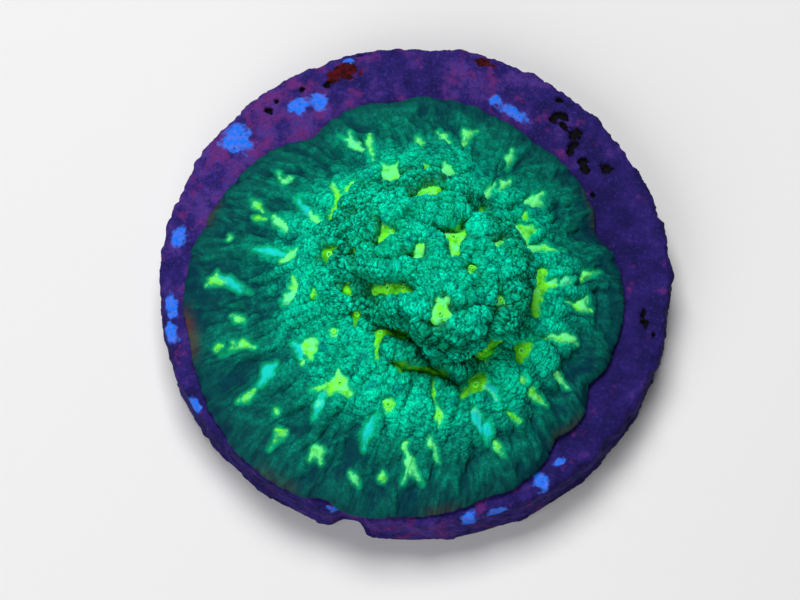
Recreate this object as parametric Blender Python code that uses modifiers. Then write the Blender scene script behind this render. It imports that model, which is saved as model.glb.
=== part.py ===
"""A chalice coral colony that has grown over a round ceramic frag disc.

Two solids: the disc, whose flat underside the whole stands on, and the colony, one mound of coral with a
knob near its middle and a skirt that spreads to a thin lobed lip. The origin is the centre of the disc's
underside, with +Z up and +X to the right of a person who stands at -Y. Lengths below are in millimetres
and are turned into metres as each mesh is made.
"""

import math

import bmesh
import bpy
import numpy as np
from mathutils import Matrix

MM = 0.001

# The disc: a 2 inch tile with a softened edge, a slightly uneven rim and one chip out of it.
DISC_RADIUS = 25.4
DISC_THICKNESS = 6.0
DISC_SEGMENTS = 120
DISC_EDGE_BEVEL = 0.5
RIM_UNEVENNESS = 0.12
RIM_WAVES = ((5, 1.0), (11, 0.0), (23, 2.0))
CHIP_ANGLE = math.radians(255)
CHIP_HALF_WIDTH = math.radians(3.6)
CHIP_DEPTH = 1.1

# The colony: places are in plan, from the disc's centre, and heights are above the colony's cut foot.
SEAT_GAP = 0.3
COLONY_CENTRE = (-1.2, -3.0)
KNOB_CENTRE = (2.0, -2.0)
APEX_HEIGHT = 12.6
SKIN_RINGS = 30

# The lip's distance from the colony's centre, at even steps round it from +X towards +Y.
LIP_REACH = (21.8, 21.7, 22.0, 22.2, 22.6, 21.8, 21.2, 21.3, 21.7, 21.7, 21.5, 22.0, 22.0, 21.9, 21.6, 21.7, 21.0, 21.0)
# Clefts between the lip's lobes: direction in degrees, depth, half width in degrees.
LIP_CLEFTS = (
    (22, 1.0, 5),
    (52, 0.3, 4),
    (92, 0.4, 4),
    (117, 1.2, 6),
    (158, 0.3, 4),
    (190, 0.4, 5),
    (249, 0.8, 4),
    (292, 0.5, 5),
    (317, 0.8, 4),
    (336, 0.9, 4),
)

# The knob at eight directions, from +X round through +Y: how far its brow reaches, how far its foot is cut
# in below the brow (below zero where the flank runs out gently), and the heights of its foot and of the
# middle of the skirt outside it.
BROW_REACH = (8.9, 7.0, 9.0, 8.4, 7.2, 6.4, 8.8, 9.2)
UNDERCUT = (0.6, -0.7, -2.2, -2.8, -3.0, -0.6, 0.7, 1.0)
FOOT_HEIGHT = (5.2, 5.4, 5.8, 6.4, 6.8, 6.0, 5.2, 4.9)
SKIRT_HEIGHT = (4.0, 4.2, 4.6, 5.0, 5.4, 5.1, 4.6, 4.2)

# Where the named profile points lie along the way from the apex, 0, to the cut foot, 1.
PROFILE_PLACES = (0.0, 0.24, 0.40, 0.49, 0.59, 0.74, 0.88, 0.97, 1.0)

# Separate bulges on the mound: place in plan, radius and rise.
BULGES = (
    (-2.0, -10.6, 3.4, 2.0),
    (5.2, -8.0, 3.4, 1.1),
    (4.0, 4.0, 3.2, 0.6),
    (-9.5, 0.5, 4.5, 0.8),
)

# Lumps of tissue: pitch and rise near the middle, and how much longer than wide they are on the skirt.
LUMP_PITCH = 3.0
LUMP_RISE = 0.9
PLEAT_STRETCH = 2.6
LUMP_SEED = 7


def smoothstep(low, high, value):
    """0 below low, 1 above high, and a smooth climb between them."""
    share = np.clip((value - low) / (high - low), 0.0, 1.0)
    return share * share * (3.0 - 2.0 * share)


def spline(before, start, end, after, share):
    """A Catmull-Rom curve between start and end."""
    return start + 0.5 * share * (
        end - before
        + share * (2.0 * before - 5.0 * start + 4.0 * end - after + share * (3.0 * (start - end) + after - before))
    )


def around(stations, angle):
    """Values given at even steps round a circle, read smoothly at these angles."""
    stations = np.asarray(stations)
    place = np.mod(angle, math.tau) / math.tau * len(stations)
    first = np.floor(place).astype(int)
    near = [stations[(first + step) % len(stations)] for step in (-1, 0, 1, 2)]
    return spline(*near, place - first)


def turn_between(angle, direction):
    """The angle between two directions, without its sign."""
    return np.abs(np.mod(angle - direction + math.pi, math.tau) - math.pi)


def lip_reach(angle):
    """How far the lip lies from the colony's centre, with its clefts."""
    reach = around(LIP_REACH, angle)
    for degrees, depth, half_width in LIP_CLEFTS:
        off = turn_between(angle, math.radians(degrees)) / math.radians(half_width)
        reach = reach - depth * np.exp(-off * off)
    return reach


def skin(place, angle):
    """The mound's smooth surface: place runs from 0 at the apex to 1 at the cut foot."""
    brow, lip = around(BROW_REACH, angle), lip_reach(angle)
    foot, skirt = around(FOOT_HEIGHT, angle), around(SKIRT_HEIGHT, angle)
    brow_height = np.maximum(0.5 * (foot + APEX_HEIGHT), foot + 1.0)
    knob_to_lip = lip - brow
    # Each profile point: reach, height, and how far its centre has moved from the knob's to the colony's.
    profile = (
        (0.0 * brow, APEX_HEIGHT + 0.0 * brow, 0.0),
        (0.50 * brow, APEX_HEIGHT - 0.5 + 0.0 * brow, 0.0),
        (0.86 * brow, 0.35 * brow_height + 0.65 * APEX_HEIGHT - 0.8, 0.0),
        (brow, brow_height, 0.0),
        (brow - around(UNDERCUT, angle), foot, 0.0),
        (brow + 0.42 * knob_to_lip, skirt, 0.42),
        (brow + 0.82 * knob_to_lip, 0.48 * skirt + 0.3, 0.82),
        (lip, 0.7 + 0.0 * brow, 1.0),
        (lip - 0.5, 0.0 * brow, 1.0),
    )
    knob, colony = np.array(KNOB_CENTRE), np.array(COLONY_CENTRE)
    out = np.stack([np.cos(angle), np.sin(angle)], axis=-1)
    points = []
    for reach, height, share in profile:
        plan = knob + share * (colony - knob) + reach[..., None] * out
        points.append(np.concatenate([plan, height[..., None]], axis=-1))
    points = np.stack(points)
    places = np.array(PROFILE_PLACES)
    first = np.clip(np.searchsorted(places, place, side="right") - 1, 0, len(places) - 2)
    share = ((place - places[first]) / (places[first + 1] - places[first]))[..., None]
    column = np.arange(len(place))
    last = len(places) - 1
    near = [points[np.clip(first + step, 0, last), column] for step in (-1, 0, 1, 2)]
    return spline(*near, share)


def bulged(points):
    """The skin with its separate bulges, which fade out towards the foot."""
    lift = np.zeros(len(points))
    for x, y, radius, rise in BULGES:
        off = np.hypot(points[:, 0] - x, points[:, 1] - y) / radius
        lift += rise * np.exp(-(off**2))
    raised = points.copy()
    raised[:, 2] += lift * smoothstep(1.5, 4.0, points[:, 2])
    return raised


def lump_seeds():
    """Places on the skin for the lumps, in rings with some disorder, and each lump's stretch outwards."""
    random = np.random.default_rng(LUMP_SEED)
    places, angles, stretches = [], [], []
    place = 0.05
    while place < 0.95:
        circle = np.linspace(0.0, math.tau, 64, endpoint=False)
        ring = skin(np.full(64, place), circle)
        reach = np.hypot(*(ring[:, :2] - ring[:, :2].mean(axis=0)).T).mean()
        stretch = 1.0 + (PLEAT_STRETCH - 1.0) * float(smoothstep(0.62, 0.80, place))
        count = max(3, round(math.tau * reach / LUMP_PITCH))
        jitter = random.uniform(-0.3, 0.3, (2, count))
        angles.append((np.arange(count) + random.uniform() + jitter[0]) * math.tau / count)
        step = float(np.interp(place, (0.0, 0.5, 0.9), (0.115, 0.085, 0.062))) * stretch**0.6
        places.append(np.clip(place + jitter[1] * step, 0.0, 0.93))
        stretches.append(np.full(count, stretch))
        place += step
    return np.concatenate(places), np.concatenate(angles), np.concatenate(stretches)


def lump_height(points):
    """How far the lumps lift each point of the skin, from 0 in the creases to about 1 on their tops."""
    place, angle, stretch = lump_seeds()
    seeds = bulged(skin(place, angle))
    out = np.stack([np.cos(angle), np.sin(angle)], axis=-1)
    nearest = np.full((2, len(points)), np.inf)
    for seed, direction, length in zip(seeds, out, stretch, strict=True):
        offset = points - seed
        along = offset[:, :2] @ direction
        square = (offset**2).sum(axis=1) - along**2 * (1.0 - 1.0 / length**2)
        farther = np.maximum(nearest[0], square)
        nearest[0] = np.minimum(nearest[0], square)
        nearest[1] = np.minimum(nearest[1], farther)
    first, second = np.sqrt(nearest) / LUMP_PITCH
    dome = np.sqrt(np.clip(1.0 - (first / 0.85) ** 2, 0.0, 1.0))
    return dome * smoothstep(0.0, 0.35, second - first)


def hexagon_sheet(rings):
    """A triangulated sheet in rings of 6, 12, 18 ... points, and each point's place and angle in it."""
    sheet = bmesh.new()
    turn = Matrix.Rotation(math.radians(30), 4, "Z")
    bmesh.ops.create_circle(sheet, cap_ends=True, cap_tris=True, segments=6, radius=1.0, matrix=turn)
    bmesh.ops.subdivide_edges(sheet, edges=sheet.edges[:], cuts=rings - 1, use_grid_fill=True)
    flat = np.array([vertex.co[:2] for vertex in sheet.verts])
    sides = np.radians([30.0, 90.0, 150.0])
    across = np.abs(flat @ np.stack([np.cos(sides), np.sin(sides)])).max(axis=1)
    place = across / math.cos(math.radians(30))
    sixth = math.tau / 6
    polar = np.mod(np.arctan2(flat[:, 1], flat[:, 0]), math.tau)
    side = np.floor(polar / sixth)
    along = 0.5 + np.tan(polar - (side + 0.5) * sixth) / (2.0 * math.tan(sixth / 2))
    return sheet, np.clip(place, 0.0, 1.0), (side + along) * sixth


def outward(sheet, points):
    """The unit normals of the sheet's points."""
    for vertex, point in zip(sheet.verts, points, strict=True):
        vertex.co = point
    sheet.normal_update()
    return np.array([vertex.normal[:] for vertex in sheet.verts])


def material(name, colour, roughness):
    """A plain Principled material."""
    made = bpy.data.materials.new(name)
    made.use_nodes = True
    shader = made.node_tree.nodes["Principled BSDF"]
    shader.inputs["Base Color"].default_value = (*colour, 1.0)
    shader.inputs["Roughness"].default_value = roughness
    shader.inputs["Metallic"].default_value = 0.0
    return made


def place_object(name, bm, finish, collection):
    """The mesh, turned from millimetres into metres, as a named object with its material."""
    bmesh.ops.scale(bm, vec=(MM, MM, MM), verts=bm.verts[:])
    bmesh.ops.recalc_face_normals(bm, faces=bm.faces[:])
    mesh = bpy.data.meshes.new(name)
    bm.to_mesh(mesh)
    bm.free()
    mesh.materials.append(finish)
    mesh.shade_smooth()
    made = bpy.data.objects.new(name, mesh)
    collection.objects.link(made)
    return made


def make_disc(collection):
    """The ceramic disc: a cylinder with a wavy rim, a chip and softened edges."""
    bm = bmesh.new()
    bmesh.ops.create_cone(
        bm,
        cap_ends=True,
        segments=DISC_SEGMENTS,
        radius1=DISC_RADIUS,
        radius2=DISC_RADIUS,
        depth=DISC_THICKNESS,
    )
    for vertex in bm.verts:
        angle = math.atan2(vertex.co.y, vertex.co.x)
        wave = sum(math.sin(count * angle + phase) for count, phase in RIM_WAVES) / len(RIM_WAVES)
        off = float(turn_between(angle, CHIP_ANGLE)) / CHIP_HALF_WIDTH
        reach = DISC_RADIUS + RIM_UNEVENNESS * (wave - 0.5) - CHIP_DEPTH * math.exp(-(off**4))
        vertex.co.x = reach * math.cos(angle)
        vertex.co.y = reach * math.sin(angle)
        vertex.co.z += DISC_THICKNESS / 2
    disc = place_object("frag_disc", bm, material("crusted_ceramic", (0.07, 0.03, 0.21), 0.9), collection)
    bevel = disc.modifiers.new("softened edges", "BEVEL")
    bevel.width = DISC_EDGE_BEVEL * MM
    bevel.segments = 2
    bevel.limit_method = "ANGLE"
    bevel.angle_limit = math.radians(60)
    return disc


def make_colony(collection):
    """The coral colony: the mound's skin, lifted into bulges and lumps, and closed by its flat cut foot."""
    bm, place, angle = hexagon_sheet(SKIN_RINGS)
    points = bulged(skin(place, angle))
    rise = LUMP_RISE * lump_height(points) * (1.0 - smoothstep(0.93, 1.0, place))
    points = points + outward(bm, points) * rise[:, None]
    points[:, 2] += DISC_THICKNESS + SEAT_GAP
    for vertex, point in zip(bm.verts, points, strict=True):
        vertex.co = point
    foot = [edge for edge in bm.edges if edge.is_boundary]
    bmesh.ops.holes_fill(bm, edges=foot, sides=0)
    return place_object("coral_colony", bm, material("coral_tissue", (0.0, 0.30, 0.19), 0.75), collection)


def main():
    for obj in list(bpy.data.objects):
        bpy.data.objects.remove(obj)
    collection = bpy.data.collections.new("chalice_coral")
    bpy.context.scene.collection.children.link(collection)
    make_disc(collection)
    make_colony(collection)


main()
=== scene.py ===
"""How the chalice coral looks: its lumpy skin, granules, mouths and eye spots, and the crust on its disc.

Lengths inside this script are millimetres in the frame's own axes, and meshes are turned into metres as
they are made. Directions are degrees from +X towards +Y. The colony's mound is the same lofted surface as
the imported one; what is added here is its relief.
"""

import math

import bmesh
import bpy
import numpy as np
from mathutils import Matrix, Vector, noise


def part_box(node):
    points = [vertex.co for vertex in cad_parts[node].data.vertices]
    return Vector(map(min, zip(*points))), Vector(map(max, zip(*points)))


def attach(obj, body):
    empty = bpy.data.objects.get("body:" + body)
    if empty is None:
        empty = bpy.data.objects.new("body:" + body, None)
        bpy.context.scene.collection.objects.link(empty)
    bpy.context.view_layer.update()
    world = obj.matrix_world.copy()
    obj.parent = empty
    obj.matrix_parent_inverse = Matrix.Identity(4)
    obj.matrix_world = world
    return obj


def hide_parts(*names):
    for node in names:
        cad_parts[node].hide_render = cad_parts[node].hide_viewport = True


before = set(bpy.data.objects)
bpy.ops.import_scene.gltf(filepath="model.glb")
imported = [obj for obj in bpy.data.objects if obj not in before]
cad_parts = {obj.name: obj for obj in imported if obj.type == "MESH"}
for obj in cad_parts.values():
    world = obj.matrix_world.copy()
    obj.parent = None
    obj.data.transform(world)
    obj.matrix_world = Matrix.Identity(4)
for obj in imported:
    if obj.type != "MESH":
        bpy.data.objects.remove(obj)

# Blender's noise vectors follow the clock until they are given a seed.
NOISE_SEED = 1
noise.seed_set(NOISE_SEED)

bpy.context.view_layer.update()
MM = 0.001

# ---- places taken from the frame, in mm

DISC_LOW, DISC_HIGH = (np.array(corner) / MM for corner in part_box("frag_disc"))
DISC_RADIUS = (DISC_HIGH[0] - DISC_LOW[0]) / 2
DISC_TOP = DISC_HIGH[2]
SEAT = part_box("coral_colony")[0][2] / MM

# ---- the mound, as in the CAD model

COLONY_CENTRE = (-1.2, -3.0)
KNOB_CENTRE = (2.0, -2.0)
APEX_HEIGHT = 12.6
# Values at even steps round the mound: how far out its lip and its brow lie, how far in from the brow the
# knob's foot lies, and the heights of that foot and of the skirt.
LIP_REACH = (
    21.8, 21.7, 22, 22.2, 22.6, 21.8, 21.2, 21.3, 21.7, 21.7, 21.5, 22, 22, 21.9, 21.6, 21.7, 21, 21,
)
BROW_REACH = (8.9, 7.0, 9.0, 8.4, 7.2, 6.4, 8.8, 9.2)
UNDERCUT = (0.6, -0.7, -2.2, -2.8, -3.0, -0.6, 0.7, 1.0)
FOOT_HEIGHT = (5.2, 5.4, 5.8, 6.4, 6.8, 6.0, 5.2, 4.9)
SKIRT_HEIGHT = (4.0, 4.2, 4.6, 5.0, 5.4, 5.1, 4.6, 4.2)
# The places of the profile's points, and how finely its length is measured down it and round it.
PROFILE_PLACES = (0.0, 0.24, 0.40, 0.49, 0.59, 0.74, 0.88, 0.97, 1.0)
PROFILE_STEPS = 401
PROFILE_TURNS = 24
# The lip's clefts: direction, depth and half width in degrees.
LIP_CLEFTS = (
    (22, 1, 5), (52, 0.3, 4), (92, 0.4, 4), (117, 1.2, 6), (158, 0.3, 4), (190, 0.4, 5), (249, 0.8, 4),
    (292, 0.5, 5), (317, 0.8, 4), (336, 0.9, 4),
)
# Separate bulges: place in plan, radius and rise.
BULGES = ((-2, -10.6, 3.4, 2), (5.2, -8, 3.4, 1.1), (4, 4, 3.2, 0.6), (-9.5, 0.5, 4.5, 0.8))

# ---- the relief on it

# Eye spots, where the polyps sit: place in plan, radius, tint (-1 olive, partly painted shade for spots in
# shade,
# 0 yellow-green, 1 cyan), 1 for a mouth, and arms that run out into the creases, each a direction, a length
# and a tip radius.
EYES = (
    (3.8, -0.2, 0.8, 0.1, 1, (60, 1.2, 0.3), (165, 0.6, 0.12), (268, 1.2, 0.35), (10, 0.4, 0.12)),
    (1.2, 4.8, 0.95, 0, 0, (205, 0.9, 0.12), (345, 0.9, 0.15), (35, 1.6, 0.08)),
    (-3, 0.5, 0.48, 0.05, 1, (110, 1, 0.15), (235, 1.1, 0.3), (15, 0.7, 0.1), (330, 0.4, 0.2)),
    (0.2, -1.9, 0.34, 0.2, 0, (195, 1, 0.1), (60, 0.4, 0.18)),
    (-3.1, -4.8, 0.62, -0.15, 1, (170, 0.6, 0.35), (341, 0.5, 0.45)),
    (-1.5, -5.2, 0.56, -0.1, 1, (335, 0.5, 0.25)),
    (2.2, -8, 0.46, 0.15, 1, (60, 0.8, 0.22), (235, 0.4, 0.3), (350, 0.4, 0.12), (100, 1.2, 0.06)),
    (5.5, -3.5, 0.25, 0.1, 1, (245, 0.4, 0.15)),
    (7.9, -6.3, 0.44, 0.25, 1, (200, 0.1, 0.1)),
    (6.3, 5.3, 0.66, 0, 0, (245, 0.3, 0.35)),
    (7.6, -0.8, 0.3, 0.1, 0, (40, 0.6, 0.1)),
    (-6.5, -3.8, 0.34, -0.3, 0, (95, 0.3, 0.12)),
    (-5.5, -6, 0.4, -0.6, 1, (260, 0.8, 0.15)),
    (-5.7, -0.7, 0.38, -0.4, 0, (300, 0.5, 0.1)),
    (-8.5, -0.1, 0.66, -0.6, 1, (30, 0.5, 0.12), (275, 0.6, 0.2)),
    (-5.5, 3.1, 0.34, -0.2, 0, (225, 0.5, 0.12), (80, 0.4, 0.06)),
    (-1, -11.5, 0.5, -0.6, 1, (160, 0.3, 0.3)),
    (1.5, -11.5, 0.32, -1, 0, (175, 1.8, 0.18), (355, 1.2, 0.3)),
    (-3.5, -8, 0.38, -0.4, 1, (30, 0.7, 0.22), (255, 1, 0.22), (260, 2.2, 0.1)),
    (-2.2, -7.8, 0.36, -1, 0, (150, 0.6, 0.2), (325, 1.8, 0.3), (20, 0.9, 0.3)),
    (7.5, -9, 0.55, -0.1, 0, (55, 1.4, 0.3), (225, 0.9, 0.28), (210, 1.8, 0.12)),
    (12.2, -2.5, 0.6, 0, 0, (80, 1, 0.5), (262, 2.2, 0.48), (15, 0.9, 0.3)),
    (13.5, -2, 0.25, 0.5, 0, (45, 0.3, 0.1)),
    (10.4, 3.2, 0.85, 0.1, 0, (165, 1.9, 0.08), (285, 0.9, 0.35), (20, 0.3, 0.5)),
    (13, 2, 0.36, 0.2, 0, (190, 1.4, 0.36), (355, 1.6, 0.06)),
    (11, 5.2, 0.2, 0, 0, (80, 0.2, 0.08)),
    (-10.5, -9, 0.64, 0.1, 0, (60, 0.2, 0.3), (280, 0.4, 0.2)),
    (-11.5, -9, 0.36, 0.9, 0, (125, 0.4, 0.2), (275, 0.5, 0.15)),
    (-11, -10.5, 0.18, 0.1, 0, (90, 0.1, 0.1)),
    (-7.5, -12.5, 0.62, 0.1, 1, (90, 0.5, 0.2), (220, 0.6, 0.3), (310, 0.9, 0.25), (190, 2.2, 0.05)),
    (-2.6, -14.9, 0.56, 0.15, 1, (250, 0.2, 0.15)),
    (6, -12.7, 0.72, -0.35, 1, (220, 1.1, 0.18), (50, 0.3, 0.3)),
    (7.6, -13, 0.38, 0.8, 0, (170, 0.5, 0.3), (290, 0.9, 0.1)),
    (10.5, -9, 0.72, -0.3, 1, (255, 0.6, 0.2), (40, 0.3, 0.3)),
    (2.4, -15.8, 0.38, 0.15, 1, (100, 0.8, 0.1), (270, 0.5, 0.12)),
    (1.9, -13.6, 0.1, 0.1, 0, (95, 1.4, 0.05), (282, 1.2, 0.05)),
    (-8, -7.6, 0.32, 0.5, 1, (200, 0.1, 0.1)),
    (-14.5, 1.5, 0.36, 1, 0, (170, 0.9, 0.08), (335, 1.3, 0.35)),
    (-12.5, 0.5, 0.42, 0.2, 0, (45, 0.5, 0.2), (215, 0.4, 0.2)),
    (-20, -1, 0.45, 0, 0, (80, 0.4, 0.12), (210, 0.3, 0.1), (340, 0.7, 0.15)),
    (-18.5, -1, 0.34, 0.9, 0, (150, 1, 0.2), (320, 1.1, 0.24), (325, 2.4, 0.08)),
    (-12, -3, 0.34, 0.1, 0, (95, 0.6, 0.2)),
    (-12.5, -4, 0.4, 0.5, 0, (230, 0.4, 0.12), (45, 0.5, 0.2)),
    (-10, -4, 0.18, -0.3, 0, (90, 0.3, 0.1), (280, 0.2, 0.12)),
    (-17, -8, 0.24, 0.1, 0, (170, 0.8, 0.12), (340, 1, 0.12), (200, 2.2, 0.05)),
    (-19.5, -8, 0.22, 0, 0, (0, 0.3, 0.08)),
    (-14.5, -11, 0.5, 0.9, 0, (240, 1, 0.2), (40, 0.4, 0.25)),
    (-16.5, -13.5, 0.3, 0.1, 0, (40, 0.9, 0.12), (195, 0.4, 0.1)),
    (-17.5, -5.5, 0.25, 0.1, 0, (335, 0.5, 0.1), (160, 0.4, 0.06)),
    (-18.5, 3.5, 0.15, 0.1, 0, (105, 0.3, 0.05)),
    (-7.5, 6.5, 0.36, 0.1, 0, (110, 1.8, 0.18), (60, 1.9, 0.26)),
    (-8, 4.5, 0.42, -0.2, 0, (265, 0.5, 0.35), (80, 1.3, 0.25)),
    (-11, 6, 0.28, 0.9, 0, (120, 1.3, 0.1), (300, 0.7, 0.3)),
    (-10, 4.5, 0.38, 0.2, 0, (125, 0.8, 0.25), (305, 0.4, 0.2)),
    (-16, 7, 0.27, 0.1, 0, (130, 0.4, 0.15), (315, 2.1, 0.08)),
    (-13.5, 4.5, 0.4, 0.4, 0, (125, 0.9, 0.12), (305, 0.8, 0.25)),
    (-16, 5.5, 0.15, 0, 0, (335, 1.2, 0.06), (150, 0.2, 0.06)),
    (-13, 9.5, 0.24, 0.3, 0, (125, 0.9, 0.18), (35, 0.5, 0.2)),
    (-6, 13.5, 0.36, 0.5, 0, (145, 1.3, 0.12), (315, 0.7, 0.2), (105, 1.2, 0.06)),
    (-4.5, 13.5, 0.2, 0.2, 0, (95, 0.9, 0.18), (275, 2, 0.12)),
    (-2.4, 9.5, 0.72, 0.2, 0, (330, 1, 0.2), (60, 0.7, 0.1), (120, 0.7, 0.12)),
    (0.5, 13.5, 0.24, 0.2, 0, (105, 0.4, 0.1), (285, 0.2, 0.15)),
    (1, 10, 0.15, 0.1, 0, (110, 0.3, 0.05), (305, 0.7, 0.05)),
    (3, 14, 0.21, 0.2, 0, (120, 0.7, 0.1), (310, 0.7, 0.12)),
    (5.5, 14.5, 0.28, 0.2, 0, (135, 0.3, 0.1), (25, 0.8, 0.1), (255, 1, 0.12)),
    (3.2, 9.9, 0.52, 0.3, 0, (205, 0.9, 0.12), (100, 0.6, 0.08), (340, 0.5, 0.12)),
    (9, 9, 0.26, 0.3, 0, (40, 0.5, 0.2), (235, 0.9, 0.1)),
    (7.2, 7.2, 0.26, 0.3, 0, (150, 0.3, 0.12), (60, 1.6, 0.1)),
    (9.5, 12, 0.22, 0.3, 0, (70, 0.8, 0.12), (260, 1, 0.1)),
    (12, 7, 0.46, 0.3, 0, (50, 0.9, 0.15), (205, 0.4, 0.15), (315, 0.5, 0.12)),
    (17, -0.5, 0.24, 0.1, 0, (20, 1.4, 0.08), (240, 0.5, 0.12)),
    (15, -1.5, 0.36, 0.6, 0, (220, 0.5, 0.15)),
    (16.5, -4, 0.46, 0.2, 0, (345, 0.7, 0.2), (170, 1, 0.08), (65, 0.5, 0.1)),
    (14.5, -7.5, 0.42, 0.3, 0, (350, 0.7, 0.36), (185, 1.9, 0.08)),
    (14, -11, 0.34, 0.3, 0, (310, 1.2, 0.06)),
    (11.5, -13, 0.34, 0.1, 0, (320, 0.6, 0.25), (325, 1.5, 0.06)),
    (10.5, -12, 0.22, 0.2, 0, (95, 0.4, 0.08)),
    (9.5, -15.5, 0.18, 0, 0, (150, 0.7, 0.06), (325, 0.5, 0.14)),
    (6, -16, 0.5, 0.8, 0, (100, 0.3, 0.3), (290, 1.6, 0.12)),
    (7, -17, 0.38, 1, 0, (80, 0.5, 0.2), (280, 0.9, 0.12)),
    (8, -18.5, 0.2, 0.1, 0, (110, 0.3, 0.1), (300, 0.7, 0.08)),
    (-1, -18.5, 0.27, 0.2, 0, (285, 0.5, 0.15)),
    (-0.5, -20, 0.25, 0.3, 0, (110, 1.2, 0.12), (280, 0.9, 0.17), (300, 2.2, 0.06), (250, 1.8, 0.05)),
    (1.5, -18.5, 0.15, 0.2, 0, (105, 0.6, 0.08), (295, 1.6, 0.06)),
    (-9.5, -19, 0.48, 0.2, 0, (220, 0.5, 0.15), (285, 0.7, 0.12)),
    (-13, -17, 0.3, 0.1, 0, (145, 0.3, 0.1), (230, 1.4, 0.06)),
    (-13.5, -15, 0.18, 0, 0, (60, 0.2, 0.05)),
    (-6, -21.5, 0.2, 0.4, 0, (130, 0.3, 0.1), (300, 0.7, 0.1)),
    (-3, -21.5, 0.2, 0.1, 0, (90, 0.4, 0.1), (270, 0.2, 0.1)),
    (-4.5, -17, 0.34, 0.9, 0, (65, 1, 0.15), (250, 1.5, 0.15)),
    (-9.5, -14.5, 0.3, 0.8, 0, (65, 0.6, 0.2), (245, 0.9, 0.12)),
)
EYE_WEB = 0.35
EYE_ARM_ROOT = 0.85
# How far an eye spot is felt, and the distance given to points beyond.
EYE_SPAN = 6.0
EYE_FAR = 4.0
TINT_BLEND = 0.12
# How much further the eye spots reach on the knob, and how far they stand up as pads.
KNOB_EYE_GAIN = 0.10
EYE_PAD = 0.15
# The mouths' size, and the hollow under each.
MOUTH_SIZE = 0.24
MOUTH_DENT = 0.30

# The knob's main lobes: place in plan and radius, and how much wider their lumps are.
LOBES = (
    (3.5, 5.5, 1.2), (3.4, 2.6, 1.4), (1, 2.6, 1.3), (-1.5, 6, 1.6), (-5, 7, 1.6), (-4.5, 2, 1.2),
    (-6.5, 5.5, 1.2), (0, -0.5, 1.5), (2, -1, 1), (-2, -1, 1), (8, -2.5, 2.4), (6.5, 0.5, 1.2),
    (2.5, -4, 1.5), (-0.5, -3.5, 1.3), (-3.5, -2.5, 1.3), (1, -6, 1.1), (4.5, -5.5, 1.6), (4.5, -8.5, 1.8),
    (8.5, -5.5, 1.7), (6.5, -6, 1.2), (8.5, -7.5, 1.2), (1, -8, 1.2), (-2, -6.5, 1.3), (-4, -5, 1.2),
    (-1, -9.5, 1.5), (-2.5, -9.5, 1), (0.5, -10.5, 1), (3.5, -9.5, 1.2), (5.5, -9, 1), (1.5, -10, 1),
    (-6, -2.5, 1.2), (-7, -4.5, 1.4), (-8, -2, 1.2), (7.5, -9, 0.9), (-6, -7.5, 1.6), (-5, -10, 1.5),
    (8, 4, 1.4), (5.5, 7.5, 1.3), (1, 9.5, 1.3), (10, -7.5, 1.2),
)
LOBE_GAIN = 1.7

# Long crevices between the knob's lobes: half width, and the points that each runs through in plan.
CREVICES = (
    (0.7, (-5.5, -2.5), (-4.5, -3.5), (-3.5, -4), (-2, -4.5), (-1, -4.5), (0, -5.5)),
    (0.6, (-4, -6.5), (-3, -7), (-1.5, -7.5), (-0.5, -8)),
    (0.6, (-0.5, -8.5), (0.5, -10), (1.5, -10.5), (2.5, -11.5), (4, -12.5), (5.5, -12), (7, -11)),
    (0.4, (-2.5, -11), (-1.5, -11), (-0.5, -11.5), (1, -11.5), (2.5, -12), (3.5, -12)),
    (0.35, (2.5, -9.5), (3, -9.5), (4, -10), (5.5, -9.5), (6.5, -9), (7, -7.5)),
    (0.3, (1, 1), (1.5, 0.5), (2.5, 0)),
    (0.4, (2.5, 0.5), (3.5, 0.5), (4.5, 1), (5, 1.5), (5, 2)),
    (0.3, (-1.5, 0.5), (-1, 1.5), (-0.5, 2)),
    (0.3, (-5, 1), (-4, 0), (-3.5, -1)),
    (0.25, (3, -7), (4, -7.5), (5, -7.5), (6, -7)),
    (0.25, (7.5, 1), (8.5, 1), (9, 1)),
    (0.3, (-3, -2), (-1.5, -2.5), (-0.5, -2)),
    (0.25, (1, -2), (2, -2.5), (3, -2.5)),
    (0.2, (5, 0), (5.5, -1.5), (5.5, -3)),
    (0.3, (6, -10.5), (7, -9.5), (8, -8.5)),
    (0.3, (-7, 1), (-6.5, -0.5), (-6, -1)),
    (0.25, (2.5, 5), (3, 8)),
    (0.25, (2.5, -9), (2, -10)),
    (0.3, (0.5, -8), (1.5, -9.5), (3, -10.5), (5, -10.5), (6, -9.5)),
)
CREVICE_DEPTH = 0.90

# Saddles on the knob's far side, where the lumps are low: place in plan and radius.
SADDLES = ((-2.2, 7.3, 1.8), (3.2, 7.8, 1.5), (1, 8.2, 1.2), (5.7, 3.6, 1.6))
SADDLE_DEPTH = 0.50

# Brown tinges along the lip: direction, half width in degrees, and strength.
BROWN_LIPS = ((188, 7, 1), (153, 4, 0.5), (28, 6, 0.4), (321, 6, 0.5), (280, 5, 0.4), (236, 6, 0.3))

# The skin's points lie in rows of 6, 12, 18 ... round the apex, the first half of them on the knob.
SKIN_ROWS = 350
KNOB_ROWS = SKIN_ROWS // 2
SECTORS = ("northeast", "west", "southeast")
SKIN_DROP = 0.35
SKIN_INSET = 0.80
# Where the knob goes over into the skirt, and that into its outer half, on the way from apex to foot.
SKIRT_START = (0.58, 0.70)
OUTER_START = (0.74, 0.88)

# The hidden walls and floor that close each piece of the skin.
FLOOR_HEIGHT = SEAT - SKIN_DROP
WALL_INSET = 0.2

# Lumps on the knob and pleats on the inner skirt: how far apart, how much longer than wide the pleats are,
# how varied in width, how many points are tried, and how high they are from place to place.
LUMP_PITCH = 3.0
PLEAT_PITCH = 2.0
PLEAT_STRETCH = 2.6
LUMP_VARIETY = (0.8, 1.25)
LUMP_TRIES = 16000
LUMP_SEED = 3
RISE_PLACES = (0.45, 0.60, 0.72, 0.84)
RISES = (1.12, 0.90, 0.50, 0.0)

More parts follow.
